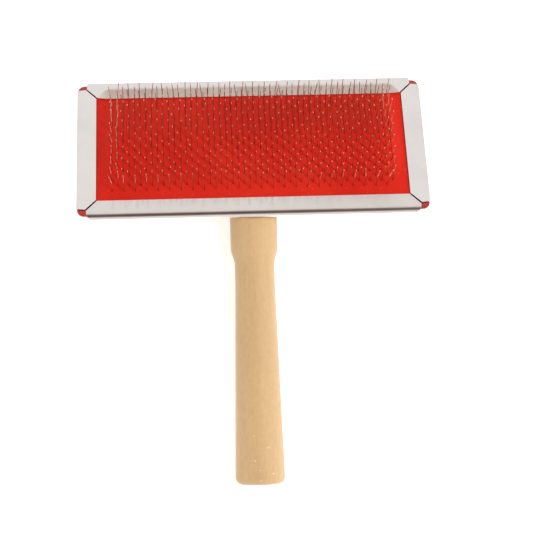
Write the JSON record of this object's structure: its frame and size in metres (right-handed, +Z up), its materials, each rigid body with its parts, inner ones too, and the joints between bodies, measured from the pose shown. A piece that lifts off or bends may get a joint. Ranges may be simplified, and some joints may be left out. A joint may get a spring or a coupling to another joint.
{
  "type": "slicker brush",
  "caption": "Rectangular slicker brush: angled fine wire pins in a domed red cloth pad, metal-bound red board and a turned wooden handle set at an angle.",
  "frame": {"origin": "centre of the brush's footprint on the surface it lies on, pins up, at that surface", "axes": "+Z up with the pins, +X across the head, +Y from the handle's free end towards the head's far edge; the head is leaned 22.6 degrees so that its far edge and the handle's end rest on the surface"},
  "size_m": [0.1316, 0.1532, 0.0351],
  "materials": {
    "board_lacquer": "glossy red lacquer",
    "felt": "pressed felt",
    "rubber_cloth": "matte, fine speckle",
    "tinplate": "bright, lightly rolled",
    "pin_wire": "drawn wire",
    "handle_wood": "clear lacquer, soft sheen",
    "screw_steel": "zinc plated",
    "tack_steel": "bright"
  },
  "bodies": {
    "root": {"base_board": "board_lacquer", "cushion_felt": "felt", "cloth_pad": "rubber_cloth", "frame_strip_top": "tinplate", "frame_strip_bottom": "tinplate", "frame_strip_left": "tinplate", "frame_strip_right": "tinplate", "pin_row_01": "pin_wire", "pin_row_02": "pin_wire", "pin_row_03": "pin_wire", "pin_row_04": "pin_wire", "pin_row_05": "pin_wire", "pin_row_06": "pin_wire", "pin_row_07": "pin_wire", "pin_row_08": "pin_wire", "pin_row_09": "pin_wire", "pin_row_10": "pin_wire", "pin_row_11": "pin_wire", "pin_row_12": "pin_wire", "pin_row_13": "pin_wire", "pin_row_14": "pin_wire", "pin_row_15": "pin_wire", "pin_row_16": "pin_wire", "pin_row_17": "pin_wire", "pin_row_18": "pin_wire", "pin_row_19": "pin_wire", "pin_row_20": "pin_wire", "handle": "handle_wood", "handle_screw_1": "screw_steel", "handle_screw_2": "screw_steel", "strip_tack_01": "tack_steel", "strip_tack_02": "tack_steel", "strip_tack_03": "tack_steel", "strip_tack_04": "tack_steel", "strip_tack_05": "tack_steel", "strip_tack_06": "tack_steel", "strip_tack_07": "tack_steel", "strip_tack_08": "tack_steel", "strip_tack_09": "tack_steel"}
  },
  "joints": []
}
